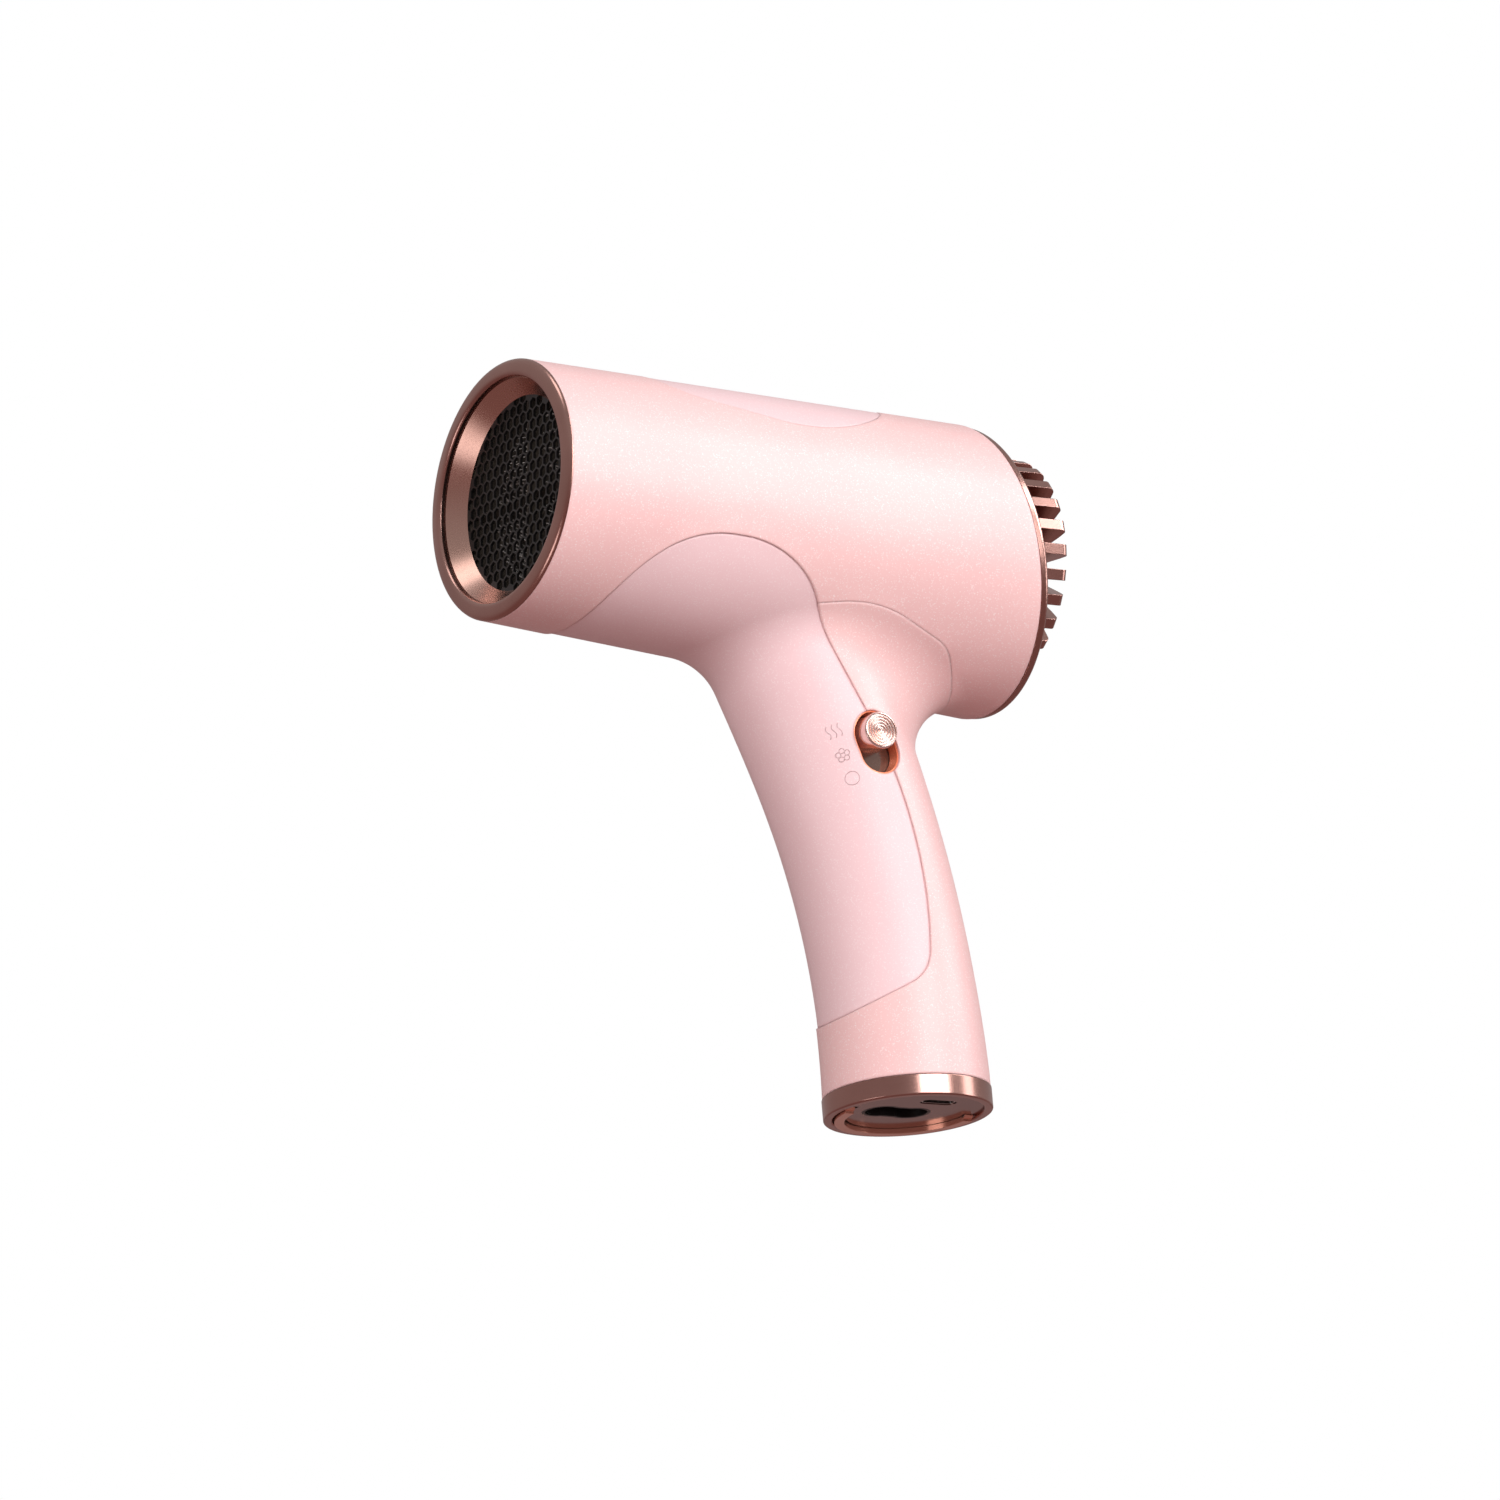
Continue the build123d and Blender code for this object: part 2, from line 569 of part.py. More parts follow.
def end_plate():
    """Bottom plate with a channel for the loop and openings for the inlet and the port."""
    outer = handle_radius(0) - BAND_WALL - PLATE_FIT
    plate = Pos(0, 0, PLATE_RECESS) * Cylinder(outer, PLATE_THICK,
                                               align=(Align.CENTER, Align.CENTER, Align.MIN))
    inner = loop_middle() - LOOP_WIDTH / 2 - LOOP_GAP
    channel = upright_ring(outer + 1, inner, -1, LOOP_AXIS + EYE_RADIUS + LOOP_GAP)
    channel = channel & (Pos(0, 30 - 2 * EYE_RADIUS, 0) * Box(80, 60, 60))
    inlet = extrude(Pos(INLET_X, INLET_Y) * figure_eight(INLET_LENGTH + 2 * INLET_WALL,
                                                         INLET_WIDTH + 2 * INLET_WALL), 20)
    port = extrude(Pos(USB_X, USB_Y) * SlotOverall(USB_LENGTH + 0.6, USB_WIDTH + 0.6), 20)
    return foot(plate - channel - inlet - port)


def loop_middle():
    """Radius of the middle of the hanging loop's strip."""
    return handle_radius(0) - BAND_WALL - LOOP_GAP - LOOP_WIDTH / 2


def loop_pin_rods(radius):
    """The two hinge pins of the loop, in the frame of the handle's bottom."""
    start = loop_middle() - LOOP_WIDTH / 2
    length = LOOP_WIDTH + LOOP_GAP + PIN_DEPTH
    rod_x = start + length / 2
    return [Pos(side * rod_x, 0, LOOP_AXIS) * Rot(Y=90) * Cylinder(radius, length)
            for side in (-1, 1)]


def loop_pins():
    return foot(Compound(children=loop_pin_rods(PIN_RADIUS)))


def hanging_loop():
    """Half ring of flat strip with an eye at each end, folded into the end plate."""
    middle = loop_middle()
    half = LOOP_WIDTH / 2
    ring = upright_ring(middle + half, middle - half, -LOOP_PROUD, LOOP_THICK - LOOP_PROUD)
    ring = ring & (Pos(0, 30, 0) * Box(80, 60, 60))
    eyes = [Pos(side * middle, 0, LOOP_AXIS) * Rot(Y=90) * Cylinder(EYE_RADIUS, LOOP_WIDTH - 0.1)
            for side in (-1, 1)]
    return foot(ring + eyes - loop_pin_rods(PIN_RADIUS + PIN_FIT))


def power_inlet():
    """Two-pole inlet: black shell and its two contact pins."""
    top = PLATE_RECESS + INLET_DEPTH
    place = Pos(INLET_X, INLET_Y)
    shell = extrude(place * figure_eight(INLET_LENGTH + 2 * INLET_WALL,
                                         INLET_WIDTH + 2 * INLET_WALL), top + 1.4)
    shell = shell - extrude(place * figure_eight(INLET_LENGTH, INLET_WIDTH), top)
    shell = shell & (Pos(0, 0, PLATE_RECESS + 20) * Box(60, 60, 40))
    tip = PLATE_RECESS + 1.8
    poles = [Pos(INLET_X + side * POLE_SPACING / 2, INLET_Y, tip)
             * Cylinder(POLE_RADIUS, top - tip, align=(Align.CENTER, Align.CENTER, Align.MIN))
             for side in (-1, 1)]
    return {"inlet_shell": foot(shell), "inlet_pins": foot(Compound(children=poles))}


def usb_port():
    """USB-C receptacle: metal shell, tongue, and the board that carries it."""
    place = Pos(USB_X, USB_Y)
    low = PLATE_RECESS + 0.2
    shell = extrude(place * SlotOverall(USB_LENGTH, USB_WIDTH), USB_DEPTH)
    cavity = extrude(place * SlotOverall(USB_LENGTH - 2 * USB_SHELL,
                                         USB_WIDTH - 2 * USB_SHELL), USB_DEPTH - 0.5)
    tongue = Pos(USB_X, USB_Y, 1.0) * Box(6.6, 0.7, USB_DEPTH - 1.5,
                                          align=(Align.CENTER, Align.CENTER, Align.MIN))
    board = Pos(0, 0, PLATE_RECESS + INLET_DEPTH + 1.6) * Cylinder(
        15.5, BOARD_THICK, align=(Align.CENTER, Align.CENTER, Align.MIN))
    riser = Pos(USB_X, USB_Y, low + USB_DEPTH) * Box(
        7, 2, PLATE_RECESS + INLET_DEPTH + 1.6 - low - USB_DEPTH,
        align=(Align.CENTER, Align.CENTER, Align.MIN))
    return {"usb_shell": foot(Pos(0, 0, low) * (shell - cavity)),
            "usb_tongue": foot(Pos(0, 0, low) * tongue),
            "usb_riser": foot(riser), "charge_board": foot(board)}


def cell_place(index):
    """Place of one battery cell in its bundle of three."""
    sag = (CELL_LENGTH / 2) ** 2 / (4 * BEND_RADIUS)
    spread = (2 * CELL_RADIUS + CELL_GAP) / (2 * cos(radians(30)))
    angle = radians(120 * index + 60)
    return handle_plane(CELL_STATION).location * Pos(spread * cos(angle) - sag,
                                                     spread * sin(angle), 0)


def battery():
    """Three cells, the carriers at their ends and the links between them."""
    parts = {}
    for index in range(3):
        can = Cylinder(CELL_RADIUS, CELL_LENGTH - 1.5)
        button = Pos(0, 0, CELL_LENGTH / 2) * Cylinder(2.6, 1.5)
        parts[f"battery_cell_{index + 1}"] = cell_place(index) * (can + button)
    sag = (CELL_LENGTH / 2) ** 2 / (4 * BEND_RADIUS)
    middle = handle_plane(CELL_STATION).location * Pos(-sag, 0, 0)
    half = CELL_LENGTH / 2 + 0.75
    low = Cylinder(14.6, 2.0, align=(Align.CENTER, Align.CENTER, Align.MAX))
    high = Cylinder(14.6, 2.0, align=(Align.CENTER, Align.CENTER, Align.MIN))
    parts["battery_carrier_lower"] = middle * Pos(0, 0, -half) * low
    parts["battery_carrier_upper"] = middle * Pos(0, 0, half) * high
    link = Box(17, 5, 0.3, align=(Align.CENTER, Align.CENTER, Align.MIN))
    parts["battery_link"] = middle * Pos(0, 0, half + 2.0) * link
    return parts


def switch_parts():
    """Everything of the slide switch on the handle's side."""
    window_floor = WINDOW_FACE - WINDOW_THICK
    inner_length = SLOT_LENGTH - 2 * BEZEL_WALL
    inner_width = SLOT_WIDTH - 2 * BEZEL_WALL
    housing_face = window_floor - 0.6
    bezel = slot_block(SLOT_LENGTH - 0.1, SLOT_WIDTH - 0.1, WINDOW_FACE + SLIDE_GAP, 30)
    bezel = bezel - slot_block(inner_length, inner_width, 10, 40)
    bezel = bezel & handle_solid(-BEZEL_DROP, SWITCH_STATION - 20, SWITCH_STATION + 20)
    knob_up = SWITCH_TRAVEL / 2
    window = slot_box(SLOT_LENGTH + SWITCH_TRAVEL + 0.6, SLOT_WIDTH - 0.4, window_floor,
                      WINDOW_FACE, knob_up)
    knob_base = slot_plane(WINDOW_FACE) * Pos(knob_up, 0) * Circle(KNOB_RADIUS)
    knob = extrude(knob_base, KNOB_FACE - WINDOW_FACE, dir=(0, -1, 0))
    knob = knob.fillet(0.5, knob.edges().sort_by(Axis.Y)[:1])
    carriage = slot_box(6.0, 6.2, housing_face - 2.4, window_floor, knob_up)
    contact = slot_box(1.6, 4.0, housing_face - 4.0, housing_face - 2.4, knob_up)
    cavity_length = 6.0 + SWITCH_TRAVEL + 2 * SLIDE_GAP
    housing = slot_box(cavity_length + 2.4, 9.6, housing_face - 6.0, housing_face)
    housing = housing - slot_box(cavity_length, 6.2 + 2 * SLIDE_GAP, housing_face - 4.4, 40)
    return {"switch_bezel": bezel, "switch_window": window, "switch_knob": knob,
            "switch_carriage": carriage + contact, "switch_housing": housing}


def control_board():
    """Main board behind the switch, with its tall components."""
    board_face = WINDOW_FACE - WINDOW_THICK - 0.6 - 6.0
    board = slot_box(28, 20, board_face - BOARD_THICK, board_face, 4)
    inner = board_face - BOARD_THICK
    parts = [slot_box(9, 8, inner - 6, inner, 8), slot_box(6, 12, inner - 4, inner, -6),
             slot_box(4, 4, inner - 8, inner, 0)]
    return {"control_board": board, "board_components": Compound(children=parts)}


def mount_screws():
    """Two small screws that hold the motor mount in the duct."""
    length = DUCT_WALL + 1.0
    outside = DUCT_BORE + DUCT_WALL
    x = MOTOR_FRONT + 12
    shank = Cylinder(0.8, length, align=(Align.CENTER, Align.CENTER, Align.MAX))
    head = Cylinder(1.6, 0.9, align=(Align.CENTER, Align.CENTER, Align.MIN))
    screw = shank + head
    return [Rot(X=angle) * Pos(x, 0, outside) * screw for angle in (30, 210)]


def parts():
    """Every node of the assembly."""
    nodes = shells()
    nodes["outlet_ring"] = outlet_ring()
    nodes["outlet_bowl"] = outlet_bowl()
    nodes["outlet_grille"] = outlet_grille()
    nodes["mica_sleeve"] = tube(DUCT_BORE - 0.1, DUCT_BORE - 0.1 - SLEEVE_THICK,
                                HEATER_FRONT, HEATER_FRONT + HEATER_LENGTH)
    nodes.update(mica_plates())
    nodes["heater_coils"] = heater_coils()
    nodes.update(heater_guards())
    screws = mount_screws()
    duct = tube(DUCT_BORE + DUCT_WALL, DUCT_BORE, DUCT_FRONT, DUCT_REAR)
    nodes["air_duct"] = duct - screws
    nodes["motor_mount"] = motor_mount() - screws
    nodes["mount_screws"] = Compound(children=screws)
    nodes.update(motor())
    nodes.update(rotor())
    nodes["rear_rim"] = rear_rim()
    nodes["fin_cage"] = fin_cage()
    nodes["intake_mesh"] = intake_mesh()
    nodes["end_band"] = end_band()
    nodes["end_plate"] = end_plate()
    nodes["hanging_loop"] = hanging_loop()
    nodes["loop_pins"] = loop_pins()
    nodes.update(power_inlet())
    nodes.update(usb_port())
    nodes.update(battery())
    nodes.update(switch_parts())
    nodes.update(control_board())
    return nodes


os.makedirs("parts", exist_ok=True)
for name, solid in parts().items():
    export_step(solid, f"parts/{name}.step")
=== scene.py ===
"""Looks of the travel hair dryer: materials, fine pieces, light and camera.

Metres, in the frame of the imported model: +X back along the barrel, +Z up and -Y the
side with the switch.
"""
import json
import math

import bmesh
import bpy
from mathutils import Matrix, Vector
from mathutils.bvhtree import BVHTree

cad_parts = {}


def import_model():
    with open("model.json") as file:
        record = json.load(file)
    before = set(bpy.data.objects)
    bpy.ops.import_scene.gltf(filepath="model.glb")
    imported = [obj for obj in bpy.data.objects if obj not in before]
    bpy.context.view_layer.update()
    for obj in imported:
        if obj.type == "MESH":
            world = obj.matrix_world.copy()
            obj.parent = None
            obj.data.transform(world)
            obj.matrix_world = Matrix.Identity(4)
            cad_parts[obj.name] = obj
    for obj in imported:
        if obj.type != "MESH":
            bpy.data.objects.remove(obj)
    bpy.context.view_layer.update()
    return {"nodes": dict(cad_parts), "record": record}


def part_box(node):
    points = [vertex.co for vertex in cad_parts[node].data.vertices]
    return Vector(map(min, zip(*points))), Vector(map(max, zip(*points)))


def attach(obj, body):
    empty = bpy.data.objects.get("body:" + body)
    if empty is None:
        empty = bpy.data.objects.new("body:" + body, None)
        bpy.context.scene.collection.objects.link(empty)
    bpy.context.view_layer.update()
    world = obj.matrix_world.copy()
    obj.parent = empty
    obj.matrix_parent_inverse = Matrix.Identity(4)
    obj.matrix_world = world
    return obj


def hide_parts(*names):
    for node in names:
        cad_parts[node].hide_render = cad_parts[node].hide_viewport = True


MM = 0.001
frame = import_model()
nodes = frame["nodes"]


# ---- materials ---------------------------------------------------------------------------

class Graph:
    """A material's node graph, built one socket at a time."""

    def __init__(self, name):
        self.slot = name
        self.material = bpy.data.materials.new(name)
        self.material.use_nodes = True
        self.tree = self.material.node_tree
        self.tree.nodes.clear()
        self.output = self.add("ShaderNodeOutputMaterial")
        self.shader = self.add("ShaderNodeBsdfPrincipled")
        self.link(self.shader, "BSDF", self.output, "Surface")
        self.place = self.add("ShaderNodeTexCoord")

    def add(self, kind, **sockets):
        node = self.tree.nodes.new(kind)
        for key, value in sockets.items():
            node.inputs[key.replace("_", " ")].default_value = value
        return node

    def link(self, source, out, target, into):
        self.tree.links.new(source.outputs[out], target.inputs[into])

    def coordinates(self, stretch=(1, 1, 1)):
        mapping = self.add("ShaderNodeMapping", Scale=stretch)
        self.link(self.place, "Object", mapping, "Vector")
        return mapping

    def noise(self, scale, detail=3.0, stretch=(1, 1, 1), rough=0.5):
        node = self.add("ShaderNodeTexNoise", Scale=scale, Detail=detail, Roughness=rough)
        self.link(self.coordinates(stretch), "Vector", node, "Vector")
        return node

    def ranged(self, source, out, low, high, start=0.3, end=0.7):
        node = self.add("ShaderNodeMapRange", From_Min=start, From_Max=end, To_Min=low,
                        To_Max=high)
        self.link(source, out, node, "Value")
        return node

    def mixed(self, factor, out, low, high):
        node = self.tree.nodes.new("ShaderNodeMix")
        node.data_type = "RGBA"
        node.inputs[6].default_value = (*low, 1)
        node.inputs[7].default_value = (*high, 1)
        self.tree.links.new(factor.outputs[out], node.inputs[0])
        return node


def surface(name, dark, light, rough, metal=0.0, cloud=45, grain=1800, depth=0.004,
            stretch=(1, 1, 1), coat=0.0, rough_span=0.06, specular=0.5, edge=0.0):
    """Clouded colour, grain in the bump and roughness, and rounded edges.

    cloud and grain are in features for each metre; depth and edge are in mm.
    """
    g = Graph(name)
    clouds = g.noise(cloud, 4.0)
    fine = g.noise(grain, 3.0, stretch)
    tint = g.mixed(g.ranged(clouds, "Fac", 0, 1), "Result", dark, light)
    g.tree.links.new(tint.outputs[2], g.shader.inputs["Base Color"])
    wear = g.ranged(fine, "Fac", rough - rough_span, rough + rough_span)
    g.link(wear, "Result", g.shader, "Roughness")
    bump = g.add("ShaderNodeBump", Strength=1.0, Distance=depth * MM)
    g.link(fine, "Fac", bump, "Height")
    g.link(bump, "Normal", g.shader, "Normal")
    if edge:
        bevel = g.add("ShaderNodeBevel", Radius=edge * MM)
        bevel.samples = 6
        g.link(bevel, "Normal", bump, "Normal")
    g.shader.inputs["Metallic"].default_value = metal
    g.shader.inputs["Specular IOR Level"].default_value = specular
    g.shader.inputs["Coat Weight"].default_value = coat
    g.shader.inputs["Coat Roughness"].default_value = 0.12
    return g


def pearl(name, dark, light, rough, amount, edge=0.9):
    """Satin paint with fine pearl flakes; their sparkle is painted glints, pale specks
    mixed into the base colour.
    """
    g = surface(name, dark, light, rough, cloud=30, grain=900, depth=0.006, edge=edge)
    # Painted glints of the pearl flakes: sparse random cells are mixed towards near-white
    # in the base colour.
    flake_glints = g.add("ShaderNodeTexVoronoi", Scale=4200.0)
    g.link(g.coordinates(), "Vector", flake_glints, "Vector")
    split = g.add("ShaderNodeSeparateColor")
    g.link(flake_glints, "Color", split, "Color")
    glint_mask = g.ranged(split, "Red", 0, amount, 0.86, 0.97)
    base = g.shader.inputs["Base Color"].links[0].from_socket
    mix = g.tree.nodes.new("ShaderNodeMix")
    mix.data_type = "RGBA"
    g.tree.links.new(glint_mask.outputs["Result"], mix.inputs[0])
    g.tree.links.new(base, mix.inputs[6])
    # Near-white colour of the painted flake glints.
    mix.inputs[7].default_value = (1.0, 0.9, 0.9, 1)
    g.tree.links.new(mix.outputs[2], g.shader.inputs["Base Color"])
    return g


# The number before the closing bracket sets how strongly the painted flake glints show.
SHELL = pearl("shell_pink", (0.86, 0.55, 0.545), (0.90, 0.59, 0.58), 0.42, 0.5)
PANEL = pearl("panel_pink", (0.86, 0.605, 0.625), (0.89, 0.64, 0.66), 0.46, 0.35)
ROSE = surface("rose_plate", (0.44, 0.245, 0.21), (0.52, 0.30, 0.26), 0.22, 1.0, 60, 2600,
               0.0001, rough_span=0.02, edge=0.25)
BOWL = surface("bowl_rose", (0.55, 0.33, 0.27), (0.62, 0.38, 0.32), 0.27, 1.0, 50, 1500,
               0.0001, rough_span=0.02)
BLACK = surface("grille_black", (0.006, 0.006, 0.006), (0.012, 0.011, 0.011), 0.35, 0.0,
                80, 3000, 0.006, edge=0.12)
DUCT = surface("duct_black", (0.012, 0.012, 0.013), (0.022, 0.021, 0.021), 0.5, 0.0, 60,
               1600, 0.02)
MICA = surface("mica", (0.05, 0.042, 0.034), (0.12, 0.10, 0.08), 0.42, 0.0, 220, 1400, 0.02,
               (1, 1, 3), coat=0.3)
WIRE = surface("heater_wire", (0.72, 0.70, 0.67), (0.86, 0.84, 0.81), 0.25, 0.85, 300, 5000,
               0.002)
GUARD = surface("guard_body", (0.55, 0.54, 0.50), (0.68, 0.66, 0.61), 0.3, 0.6, 200, 3000,
                0.004)
STEEL = surface("motor_steel", (0.50, 0.50, 0.51), (0.62, 0.62, 0.63), 0.3, 1.0, 90, 1500,
                0.004, (1, 12, 12))
MAGNET = surface("magnet", (0.05, 0.05, 0.055), (0.09, 0.09, 0.095), 0.5, 0.4, 120, 2200,
                 0.01)
BRONZE = surface("bronze", (0.50, 0.33, 0.16), (0.66, 0.46, 0.25), 0.34, 1.0, 150, 4200,
                 0.01)
WINDING = surface("copper_winding", (0.55, 0.22, 0.10), (0.74, 0.34, 0.18), 0.28, 1.0, 150,
                  2400, 0.05, (8, 1, 1))
SCREEN = surface("mesh_steel", (0.10, 0.095, 0.095), (0.17, 0.16, 0.16), 0.4, 0.9, 150,
                 3000, 0.01)
BASE = surface("base_rose", (0.30, 0.175, 0.155), (0.36, 0.215, 0.19), 0.13, 0.9, 70, 2400,
               0.001, rough_span=0.03)
LOOP = surface("loop_copper", (0.86, 0.44, 0.32), (0.93, 0.52, 0.40), 0.2, 0.8, 90, 2600,
               0.001, rough_span=0.04, edge=0.2)
PIN = surface("pin_steel", (0.60, 0.59, 0.58), (0.74, 0.73, 0.72), 0.2, 1.0, 200, 3500,
              0.002, edge=0.1)
INLET = surface("inlet_black", (0.008, 0.008, 0.008), (0.018, 0.017, 0.017), 0.38, 0.0, 90,
                1900, 0.012, edge=0.15)
BOARD = surface("board_green", (0.010, 0.09, 0.035), (0.018, 0.14, 0.055), 0.3, 0.0, 600,
                1500, 0.02, coat=0.4)
PARTS = surface("component", (0.015, 0.015, 0.016), (0.035, 0.034, 0.036), 0.4, 0.0, 250,
                1800, 0.015)
CELL = surface("cell_wrap", (0.035, 0.12, 0.36), (0.05, 0.16, 0.45), 0.3, 0.0, 80, 900,
               0.02, coat=0.5)
CARRIER = surface("carrier", (0.58, 0.58, 0.56), (0.68, 0.68, 0.65), 0.5, 0.0, 90, 1500,
                  0.02)
NICKEL = surface("nickel", (0.60, 0.59, 0.56), (0.72, 0.71, 0.68), 0.28, 1.0, 160, 2000,
                 0.004, (1, 10, 1))
LINER = surface("bezel_copper", (0.90, 0.26, 0.13), (0.96, 0.33, 0.18), 0.25, 0.2, 120,
                2600, 0.001, rough_span=0.04)
WINDOW = surface("window_brown", (0.20, 0.12, 0.09), (0.26, 0.16, 0.12), 0.08, 0.6,
                 90, 2600, 0.001, coat=1.0, rough_span=0.02, specular=0.8)
KNOB = surface("knob_metal", (0.80, 0.60, 0.55), (0.87, 0.68, 0.63), 0.16, 0.9, 300, 3800,
               0.0005, rough_span=0.02)
CARRIAGE = surface("carriage_white", (0.62, 0.62, 0.60), (0.72, 0.72, 0.70), 0.45, 0.0,
                   120, 1800, 0.015)

def turn_finish(graph, axis, amount):
    """Stretches the highlights around an axis, as on metal turned in a lathe."""
    tangent = graph.add("ShaderNodeTangent")
    tangent.direction_type = "RADIAL"
    tangent.axis = axis
    graph.link(tangent, "Tangent", graph.shader, "Tangent")
    graph.shader.inputs["Anisotropic"].default_value = amount


turn_finish(KNOB, "Y", 0.8)

GRAPHS = [SHELL, PANEL, ROSE, BOWL, BLACK, DUCT, MICA, WIRE, GUARD, STEEL, MAGNET, BRONZE,
          WINDING, SCREEN, BASE, LOOP, PIN, INLET, BOARD, PARTS, CELL, CARRIER, NICKEL,
          LINER, WINDOW, KNOB, CARRIAGE]
BY_SLOT = {g.slot: g.material for g in GRAPHS}


def dress(obj, material):
    if obj.material_slots:
        for slot in obj.material_slots:
            slot.material = material
    else:
        obj.data.materials.append(material)


for entry in frame["record"]["subparts"]:
    dress(nodes[entry["node"]], BY_SLOT[entry["material_slot"]])


# ---- pieces ------------------------------------------------------------------------------

def link_piece(data, name, graph, body):
    """Adds a piece that rides on a body and takes its finish from a material slot."""
    obj = bpy.data.objects.new(name, data)
    bpy.context.scene.collection.objects.link(obj)
    dress(obj, graph.material)
    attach(obj, body)
    return obj


def wire_curve(name, lines, radius, closed=False):
    """Round wires along lists of points."""
    curve = bpy.data.curves.new(name, "CURVE")
    curve.dimensions = "3D"
    curve.bevel_depth = radius
    curve.bevel_resolution = 2
    curve.use_fill_caps = True
    for points in lines:
        spline = curve.splines.new("POLY")
        spline.points.add(len(points) - 1)
        for item, point in zip(spline.points, points):
            item.co = (*point, 1)
        spline.use_cyclic_u = closed
    return curve


def heater():
    """Zigzag resistance wire: five nested windings around the mica cross."""
    windings = (1.0, 0.8, 0.6, 0.4, 0.2)
    turns = 9
    inset = 2 * MM
    tooth_pitch = 1.9 * MM
    tooth_depth = 0.6 * MM
    half_swing = 1.5 * MM
    twist = 0.2
    wire_radius = 0.27 * MM
    low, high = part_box("heater_coils")
    outer = (high.z - low.z) / 2 - 0.4 * MM
    step = (high.x - low.x - 2 * inset) / (turns - 1)
    lines = []
    for ring, share in enumerate(windings):
        radius = outer * share
        teeth = int(2 * math.pi * radius / tooth_pitch)
        for turn in range(turns):
            x = low.x + inset + step * turn
            points = []
            for i in range(2 * teeth):
                angle = math.pi * i / teeth + twist * turn + ring
                swing = half_swing if i % 2 else -half_swing
                r = radius if i % 2 else radius - tooth_depth
                points.append((x + swing, r * math.cos(angle), r * math.sin(angle)))
            lines.append(points)
    piece = link_piece(wire_curve("heater_wire", lines, wire_radius, True), "heater_zigzag",
                       WIRE, "housing")
    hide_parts("heater_coils")


def knob_profile(radius, face, back):
    """Half section from the middle of the face to the middle of the back."""
    dimple_radius = 0.25 * MM
    dimple_depth = 0.12 * MM
    groove_depth = 0.5 * MM
    grooves = 5
    pitch = (radius - 0.75 * MM) / grooves
    rim_edge = radius - 0.42 * MM
    profile = [(0.0, face + dimple_depth), (dimple_radius, face + dimple_depth)]
    for i in range(grooves):
        r = 0.3 * MM + pitch * i
        profile += [(r + 0.02 * pitch, face), (r + 0.50 * pitch, face),
                    (r + 0.54 * pitch, face + groove_depth),
                    (r + 0.96 * pitch, face + groove_depth)]
    profile += [(rim_edge, face), (radius - 0.16 * MM, face + 0.08 * MM),
                (radius - 0.04 * MM, face + 0.22 * MM), (radius, face + 0.42 * MM)]
    profile += [(radius, back), (0.0, back)]
    return profile


def lathe(name, profile, centre, steps):
    """Mesh turned about a line along Y, smooth except at sharp corners."""
    bm = bmesh.new()
    rings = []
    for r, y in profile:
        if r == 0:
            rings.append([bm.verts.new((centre.x, y, centre.z))] * steps)
            continue
        rings.append([bm.verts.new((centre.x + r * math.cos(2 * math.pi * i / steps), y,
                                    centre.z + r * math.sin(2 * math.pi * i / steps)))
                      for i in range(steps)])
    for a, b in zip(rings, rings[1:]):
        for i in range(steps):
            corners = [a[i], a[(i + 1) % steps], b[(i + 1) % steps], b[i]]
            bm.faces.new(list(dict.fromkeys(corners)))
    bmesh.ops.recalc_face_normals(bm, faces=bm.faces)
    mesh = bpy.data.meshes.new(name)
    bm.to_mesh(mesh)
    bm.free()
    mesh.polygons.foreach_set("use_smooth", [True] * len(mesh.polygons))
    mesh.set_sharp_from_angle(angle=math.radians(40))
    return mesh


def turned_knob():
    """Slide knob with a face of concentric grooves."""
    low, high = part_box("switch_knob")
    profile = knob_profile((high.x - low.x) / 2, low.y, high.y)
    mesh = lathe("knob", profile, (low + high) / 2, 120)
    piece = link_piece(mesh, "turned_knob", KNOB, "switch")
    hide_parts("switch_knob")


def relief_icons():
    """Three small raised signs beside the slide: warm air, fan and off."""
    warm_air, fan, off = (81.6, -51.6), (84.2, -57.1), (86.8, -62.4)
    handle_lean = math.radians(24.3)
    sink = 0.1 * MM
    line_radius = 0.16 * MM
    cover = nodes["front_grip_cover"].data
    tree = BVHTree.FromPolygons([v.co for v in cover.vertices],
                                [p.vertices for p in cover.polygons])

    def on_cover(x, z):
        hit = tree.ray_cast(Vector((x * MM, -0.06, z * MM)), Vector((0, 1, 0)))[0]
        return (hit.x, hit.y + sink, hit.z)

    def placed(middle, shape):
        """Points in mm drawn around a middle, turned with the handle's lean."""
        cos, sin = math.cos(handle_lean), math.sin(handle_lean)
        return [on_cover(middle[0] + u * cos - v * sin, middle[1] + u * sin + v * cos)
                for u, v in shape]

    waves = [[(side + 0.35 * math.sin(t * math.pi / 5), -1.6 + 0.32 * t) for t in range(11)]
             for side in (-1.3, 0.0, 1.3)]
    petals = []
    for i in range(5):
        a = math.radians(72 * i + 90)
        petals.append([(1.05 * math.cos(a) + 0.6 * math.cos(a + t * math.pi / 6),
                        1.05 * math.sin(a) + 0.6 * math.sin(a + t * math.pi / 6))
                       for t in range(13)])
    circle = [(1.6 * math.cos(math.pi * i / 20), 1.6 * math.sin(math.pi * i / 20))
              for i in range(41)]
    lines = [placed(warm_air, wave) for wave in waves]
    lines += [placed(fan, petal) for petal in petals]
    lines.append(placed(off, circle))
    link_piece(wire_curve("signs", lines, line_radius), "relief_signs", PANEL, "housing")


heater()
turned_knob()
relief_icons()


# ---- studio ------------------------------------------------------------------------------

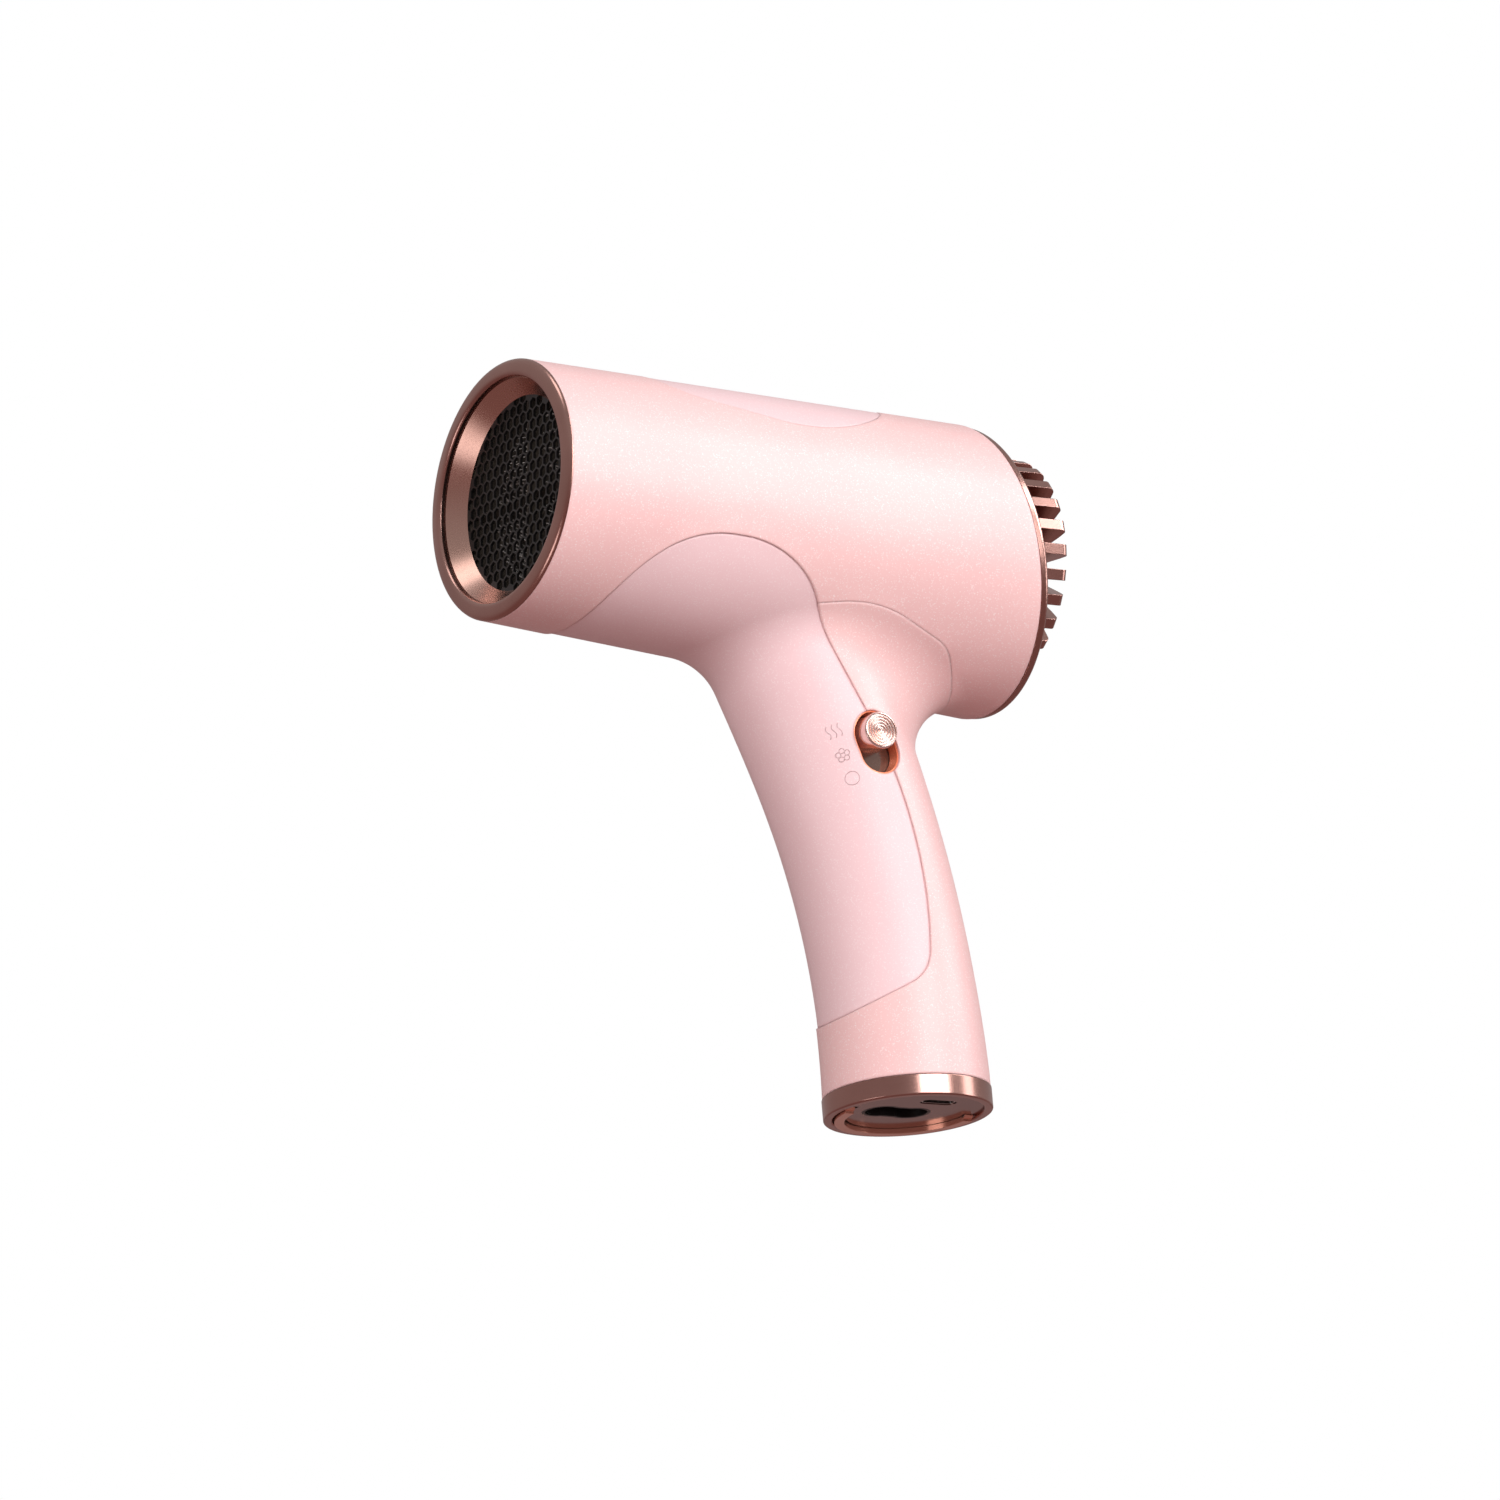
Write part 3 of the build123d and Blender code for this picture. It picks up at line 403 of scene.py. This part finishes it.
def studio_floor():
    bm = bmesh.new()
    bmesh.ops.create_grid(bm, x_segments=8, y_segments=8, size=1.6)
    mesh = bpy.data.meshes.new("studio_floor")
    bm.to_mesh(mesh)
    bm.free()
    floor = bpy.data.objects.new("studio_floor", mesh)
    floor.location = (0.07, 0, -0.36)
    bpy.context.scene.collection.objects.link(floor)
    graph = surface("floor", (0.74, 0.73, 0.72), (0.78, 0.77, 0.76), 0.7, cloud=3,
                    grain=300, depth=0.01)
    dress(floor, graph.material)
    floor.visible_diffuse = False
    floor.visible_glossy = False


def soft_light(name, place, size, power, glossy=True, diffuse=True):
    """A rectangular softbox that faces the dryer."""
    data = bpy.data.lights.new(name, "AREA")
    data.shape = "RECTANGLE"
    data.size, data.size_y = size
    data.energy = power
    light = bpy.data.objects.new(name, data)
    light.location = place
    light.visible_camera = False
    light.visible_glossy = glossy
    light.visible_diffuse = diffuse
    aim = Vector((0.07, 0, -0.05)) - Vector(place)
    light.rotation_euler = aim.to_track_quat("-Z", "Y").to_euler()
    bpy.context.scene.collection.objects.link(light)


def world():
    """White behind the object, and a softer sky that is brighter above for the light."""
    sky = bpy.data.worlds.new("studio")
    sky.use_nodes = True
    tree = sky.node_tree
    tree.nodes.clear()
    out = tree.nodes.new("ShaderNodeOutputWorld")
    seen = tree.nodes.new("ShaderNodeBackground")
    seen.inputs["Color"].default_value = (1, 1, 1, 1)
    seen.inputs["Strength"].default_value = 1.0
    lit = tree.nodes.new("ShaderNodeBackground")
    lit.inputs["Strength"].default_value = 0.42
    place = tree.nodes.new("ShaderNodeTexCoord")
    split = tree.nodes.new("ShaderNodeSeparateXYZ")
    ramp = tree.nodes.new("ShaderNodeValToRGB")
    ramp.color_ramp.elements[0].position = 0.3
    ramp.color_ramp.elements[0].color = (0.62, 0.36, 0.34, 1)
    ramp.color_ramp.elements[1].position = 0.8
    ramp.color_ramp.elements[1].color = (1, 0.96, 0.96, 1)
    scale = tree.nodes.new("ShaderNodeMath")
    scale.operation = "MULTIPLY_ADD"
    scale.inputs[1].default_value = 0.5
    scale.inputs[2].default_value = 0.5
    path = tree.nodes.new("ShaderNodeLightPath")
    mix = tree.nodes.new("ShaderNodeMixShader")
    tree.links.new(place.outputs["Generated"], split.inputs[0])
    tree.links.new(split.outputs["Z"], scale.inputs[0])
    tree.links.new(scale.outputs[0], ramp.inputs["Fac"])
    tree.links.new(ramp.outputs["Color"], lit.inputs["Color"])
    tree.links.new(path.outputs["Is Camera Ray"], mix.inputs["Fac"])
    tree.links.new(lit.outputs[0], mix.inputs[1])
    tree.links.new(seen.outputs[0], mix.inputs[2])
    tree.links.new(mix.outputs[0], out.inputs["Surface"])
    bpy.context.scene.world = sky


def camera():
    """Almost parallel view from the front left, a little below the dryer."""
    data = bpy.data.cameras.new("camera")
    data.type = "ORTHO"
    data.ortho_scale = 0.3571
    data.clip_start = 0.01
    data.clip_end = 20
    cam = bpy.data.objects.new("camera", data)
    back = Vector((-0.501, -0.815, -0.290)).normalized()
    cam.location = Vector((0.0688, 0, -0.0538)) + back * 0.35
    cam.rotation_euler = (-back).to_track_quat("-Z", "Y").to_euler()
    bpy.context.scene.collection.objects.link(cam)
    bpy.context.scene.camera = cam


studio_floor()
world()
soft_light("key", (0.20, -1.05, 0.28), (0.8, 0.5), 8.5)
soft_light("fill", (-0.75, -0.85, -0.1), (0.6, 0.6), 5, glossy=False)
soft_light("strip", (0.42, -0.92, 0.12), (0.2, 0.5), 0.15)
soft_light("rear", (0.75, -0.45, 0.55), (0.5, 0.5), 6, diffuse=False)
soft_light("outlet", (-1.0, -0.20, 0.10), (0.12, 0.12), 1.2, glossy=False)
soft_light("side", (0.95, -0.50, 0.15), (0.3, 0.7), 2)
soft_light("above_front", (-0.35, -0.02, 0.8), (0.35, 0.35), 0.9)
soft_light("below_front", (-0.45, -0.08, -0.33), (0.3, 0.2), 0.35)
camera()
bpy.context.scene.view_settings.view_transform = "Standard"
